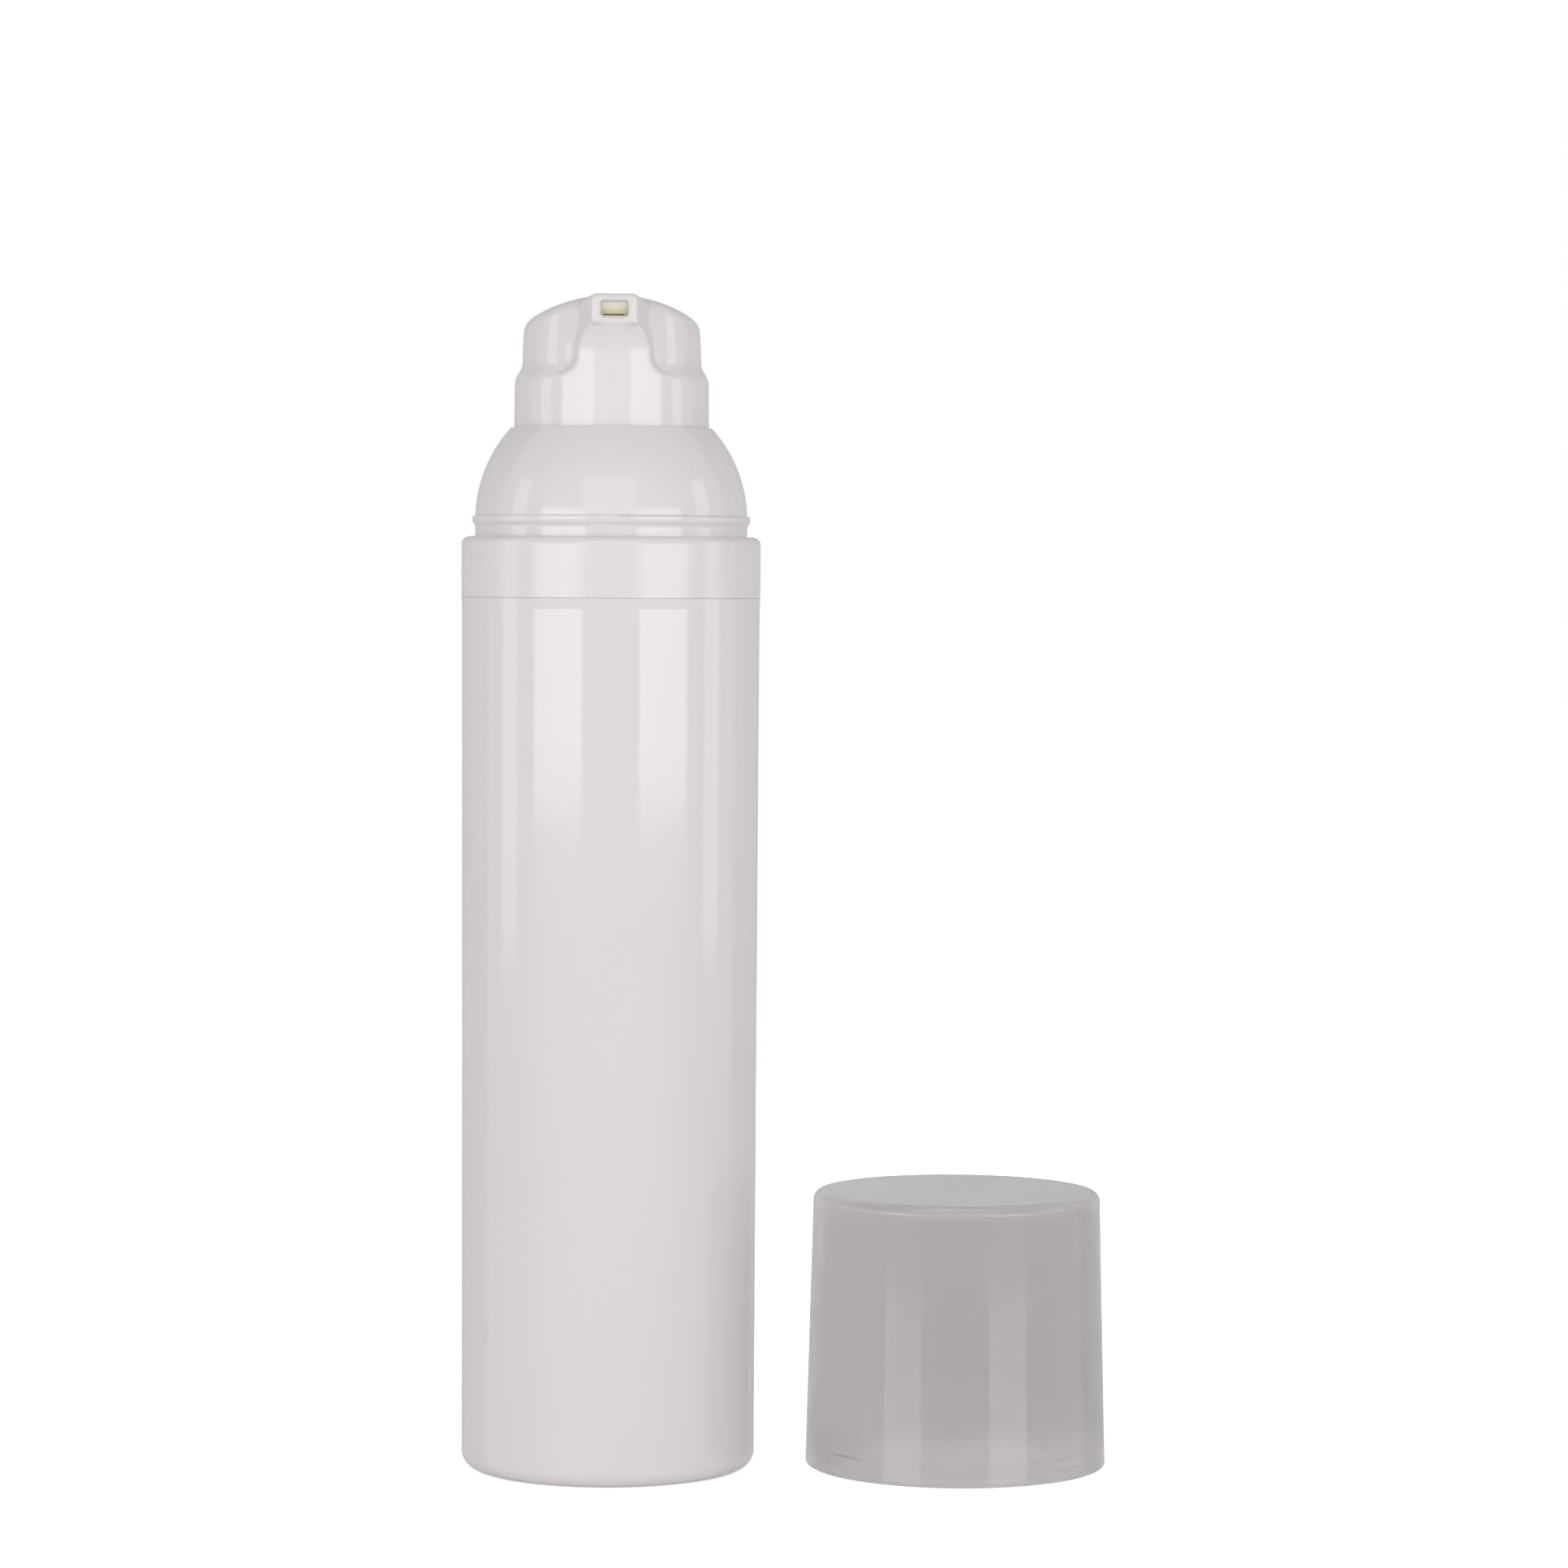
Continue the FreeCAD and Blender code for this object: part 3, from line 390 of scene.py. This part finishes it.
class BOTTLE_OT_return_spring(Operator):
    """Wind the steel return spring and grind its two ends flat"""
    bl_idname = "bottle.return_spring"
    bl_label = "Return spring"

    def execute(self, context):
        low, top = (corner.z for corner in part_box("return_spring"))
        spring = wind_wire(context.scene.bottle_spring, low, top)
        grind_ends(spring, low, top)
        spring.name = spring.data.name = "wound_spring"
        spring.data.materials.append(drawn_steel(context.scene.bottle_colours))
        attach(spring, "container")
        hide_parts("return_spring")
        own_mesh(spring)
        return {"FINISHED"}


def table_top():
    """White laminate, matt.
    The eye sees plain white: straight to the camera it glows, a little more further away."""
    material, tree, place = new_material("white_laminate_matt")
    speckle = add_node(tree, "ShaderNodeTexNoise", inputs={"Vector": place, "Scale": 1 / (3 * MM)})
    tone = add_node(tree, "ShaderNodeMix", {"data_type": "RGBA"}, {
        "Factor": speckle.outputs["Fac"], "A": linear("#F2F1F0"), "B": linear("#F0EFEE")})
    matt = add_node(tree, "ShaderNodeBsdfDiffuse", inputs={"Color": tone.outputs["Result"]})
    away = add_node(tree, "ShaderNodeVectorMath", {"operation": "LENGTH"}, {0: place})
    level = add_node(tree, "ShaderNodeMapRange", inputs={
        "Value": away.outputs["Value"], "From Min": 60 * MM, "From Max": 500 * MM,
        "To Min": 0.6, "To Max": 0.8})
    ray = add_node(tree, "ShaderNodeLightPath")
    lift = add_node(tree, "ShaderNodeMath", {"operation": "MULTIPLY"}, {
        0: ray.outputs["Is Camera Ray"], 1: level.outputs["Result"]})
    glow = add_node(tree, "ShaderNodeEmission", inputs={"Strength": lift.outputs[0]})
    both = add_node(tree, "ShaderNodeAddShader", inputs={0: matt.outputs[0], 1: glow.outputs[0]})
    add_node(tree, "ShaderNodeOutputMaterial", inputs={"Surface": both.outputs[0]})
    return material


def set_table(sizes):
    """The table that the bottle and its cap stand on."""
    deselect()
    bpy.ops.mesh.primitive_plane_add(size=sizes.table)
    table = bpy.context.object
    table.name = "table"
    table.data.materials.append(table_top())
    table.visible_glossy = False


def white_surroundings(scene):
    """White to the camera, to gloss and through the cap, and a plain soft light on everything else."""
    world = bpy.data.worlds.new("white_studio")
    scene.world = world
    world.use_nodes = True
    tree = world.node_tree
    tree.nodes.clear()
    ray = add_node(tree, "ShaderNodeLightPath")
    mirrored = add_node(tree, "ShaderNodeMath", {"operation": "MAXIMUM"}, {
        0: ray.outputs["Is Camera Ray"], 1: ray.outputs["Is Glossy Ray"]})
    seen = add_node(tree, "ShaderNodeMath", {"operation": "MAXIMUM"}, {
        0: mirrored.outputs[0], 1: ray.outputs["Is Transmission Ray"]})
    level = add_node(tree, "ShaderNodeMapRange", inputs={
        "Value": seen.outputs[0], "To Min": 0.36, "To Max": 1.0})
    light = add_node(tree, "ShaderNodeBackground", inputs={
        "Color": linear("#FFFFFF"), "Strength": level.outputs["Result"]})
    add_node(tree, "ShaderNodeOutputWorld", inputs={"Surface": light.outputs[0]})


def facing(turn, distance):
    """A place at a distance from the bottle's axis, turned from straight in front."""
    return Matrix.Rotation(turn, 3, "Z") @ Vector((0, -distance, 0))


def camera_turn(sizes, across):
    """The turn from straight in front to the camera, for an axis that stands across from the bottle's."""
    return math.atan2(sizes.camera[0] - across, -sizes.camera[1])


def panel_power(glow, width, height):
    """The power that gives a soft panel its glow, 1 being white."""
    return glow * math.pi * width * height


def area_lamp(name, width, height, place, aim, power, tint):
    """A soft panel at a place, facing another place."""
    data = bpy.data.lights.new(name, "AREA")
    data.shape = "RECTANGLE"
    data.size = width
    data.size_y = height
    data.energy = power
    data.color = linear(tint)[:3]
    lamp = bpy.data.objects.new(name, data)
    bpy.context.scene.collection.objects.link(lamp)
    lamp.location = place
    lamp.rotation_euler = (Vector(place) - Vector(aim)).to_track_quat("Z", "Y").to_euler()
    return lamp


def soft_panels(sizes):
    """Pairs of upright panels round the bottle. Some only light it, and don't show in its gloss."""
    ahead = camera_turn(sizes, 0)
    for name, turn, width, low, top, glow, shine in (
            ("front_panel", sizes.front_angle, 560 * MM, 52 * MM, 252 * MM, 3.0, True),
            ("high_panel", sizes.front_angle, 560 * MM, 252 * MM, 500 * MM, 1.7, False),
            ("side_panel", sizes.side_angle, 210 * MM, 12 * MM, 500 * MM, 1.5, True),
            ("back_panel", sizes.back_angle, 560 * MM, 12 * MM, 400 * MM, 1.6, False),
            ("rear_panel", sizes.rear_angle, 400 * MM, 12 * MM, 500 * MM, 1.1, False)):
        for side in (-1, 1):
            middle = Vector((0, 0, (low + top) / 2))
            place = facing(ahead + side * turn, sizes.panel_distance) + middle
            power = panel_power(glow, width, top - low)
            panel = area_lamp(name, width, top - low, place, middle, power, "#FFFDFC")
            panel.visible_glossy = shine
            panel.visible_camera = False


def cap_gleams(sizes):
    """Panels that shine on the cap alone: two low ones, as the table's gloss threw the front panels at
    its wall, and a high one that draws the front edge of its top."""
    alone = bpy.data.collections.new("cap_alone")
    alone.objects.link(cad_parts["overcap"])
    low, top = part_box("overcap")
    axis = Vector(((low.x + top.x) / 2, 0, 0))
    ahead = camera_turn(sizes, axis.x)
    for turn, distance, width, height, rise, glow, tint in (
            (-sizes.front_angle, sizes.panel_distance, 430 * MM, 80 * MM, -84 * MM, 1.5, "#FFF0EE"),
            (sizes.front_angle, sizes.panel_distance, 430 * MM, 80 * MM, -84 * MM, 1.5, "#FFF0EE"),
            (0, 130 * MM, 300 * MM, 200 * MM, 500 * MM, 2.0, "#FFF4F2")):
        place = axis + facing(ahead + turn, distance) + Vector((0, 0, rise))
        aim = axis + Vector((0, 0, min(rise, top.z)))
        power = panel_power(glow, width, height)
        gleam = area_lamp("cap_gleam", width, height, place, aim, power, tint)
        gleam.light_linking.receiver_collection = alone


def grey_card(name, sizes, distance, glow, painted_bounce_glow=None):
    """A grey card behind, which draws the mouldings' edges. The camera doesn't see it straight.
    It may be painted lighter up to the cap's left: a painted glow, seen through the cap, that stands in
    for the light the bottle beside the cap throws there."""
    turn = camera_turn(sizes, 0)
    deselect()
    bpy.ops.mesh.primitive_plane_add(
        size=1, location=facing(turn, -distance) + Vector((0, 0, sizes.card_middle)),
        rotation=(math.pi / 2, 0, turn))
    card = bpy.context.object
    card.name = name
    card.scale = (sizes.card_width, sizes.card_height, 1)
    material, tree, place = new_material(name + "_matt_card")
    strength = glow
    # Painted light: the card glows brighter towards the cap's left, in place of light bounced from the
    # bottle
    if painted_bounce_glow is not None:
        across = add_node(tree, "ShaderNodeSeparateXYZ", inputs={"Vector": place}).outputs["X"]
        strength = add_node(tree, "ShaderNodeMapRange", inputs={
            "Value": across, "To Min": painted_bounce_glow, "To Max": glow,
            "From Min": sizes.fade_start / sizes.card_width,
            "From Max": sizes.fade_end / sizes.card_width}).outputs["Result"]
    shader = add_node(tree, "ShaderNodeEmission", inputs={"Strength": strength})
    add_node(tree, "ShaderNodeOutputMaterial", inputs={"Surface": shader.outputs[0]})
    card.data.materials.append(material)
    card.visible_camera = card.visible_diffuse = card.visible_shadow = False
    return card


def set_camera(scene, sizes):
    """The camera, where the photograph was taken from."""
    camera = bpy.data.objects.new("camera", bpy.data.cameras.new("camera"))
    scene.collection.objects.link(camera)
    camera.data.lens = sizes.lens
    camera.data.sensor_width = sizes.sensor
    camera.data.clip_start = 10 * MM
    turned = Matrix.Rotation(sizes.turn, 4, "Z") @ Matrix.Rotation(math.pi / 2 - sizes.tilt, 4, "X")
    rolled = Matrix.Rotation(sizes.roll, 4, "Z")
    camera.matrix_world = Matrix.Translation(sizes.camera) @ turned @ rolled
    scene.camera = camera


class BOTTLE_OT_stage(Operator):
    """Set the table, the camera, the soft panels and the white surroundings"""
    bl_idname = "bottle.stage"
    bl_label = "Stage"

    def execute(self, context):
        sizes = context.scene.bottle_stage
        set_table(sizes)
        white_surroundings(context.scene)
        soft_panels(sizes)
        cap_gleams(sizes)
        area_lamp(
            "front_fill", width=2.0, height=1.5, place=(-0.12, -2.2, 0.9), aim=(0, 0, 0.08), power=9.4,
            tint="#FFFFFF")
        gloss_card = grey_card("grey_flag", sizes, sizes.grey_distance, glow=0.54)
        gloss_card.visible_transmission = False
        # Seen only through the cap; its left part carries a painted glow for the light the bottle throws
        # on the cap
        through_card = grey_card("dark_flag", sizes, sizes.dark_distance, glow=0.385, painted_bounce_glow=0.68)
        through_card.visible_glossy = False
        set_camera(context.scene, sizes)
        context.scene.view_settings.view_transform = "Standard"
        return {"FINISHED"}


class BOTTLE_PT_panel(Panel):
    """Lists the bottle's pieces and sizes"""
    bl_idname = "BOTTLE_PT_panel"
    bl_label = "Airless pump bottle"
    bl_space_type = "VIEW_3D"
    bl_region_type = "UI"
    bl_category = "Bottle"

    def draw(self, context):
        for operator in OPERATORS:
            self.layout.operator(operator.bl_idname)
        for group in SETTINGS:
            settings = getattr(context.scene, group)
            column = self.layout.column()
            for name in settings.bl_rna.properties.keys():
                if name not in ("rna_type", "name"):
                    column.prop(settings, name)


SETTINGS = {
    "bottle_colours": PlasticColours,
    "bottle_moulds": MouldSizes,
    "bottle_spring": SpringSizes,
    "bottle_stage": StageSizes,
}
OPERATORS = [
    BOTTLE_OT_white_mouldings,
    BOTTLE_OT_overcap,
    BOTTLE_OT_inner_mouldings,
    BOTTLE_OT_nozzle_tip,
    BOTTLE_OT_return_spring,
    BOTTLE_OT_stage,
]
CLASSES = [*SETTINGS.values(), *OPERATORS, BOTTLE_PT_panel]


def register():
    for kind in CLASSES:
        bpy.utils.register_class(kind)
    for name, kind in SETTINGS.items():
        setattr(bpy.types.Scene, name, PointerProperty(type=kind))


def unregister():
    for name in SETTINGS:
        delattr(bpy.types.Scene, name)
    for kind in reversed(CLASSES):
        bpy.utils.unregister_class(kind)


def main():
    register()
    bpy.ops.bottle.white_mouldings()
    bpy.ops.bottle.overcap()
    bpy.ops.bottle.inner_mouldings()
    bpy.ops.bottle.nozzle_tip()
    bpy.ops.bottle.return_spring()
    bpy.ops.bottle.stage()


if __name__ == "__main__":
    main()
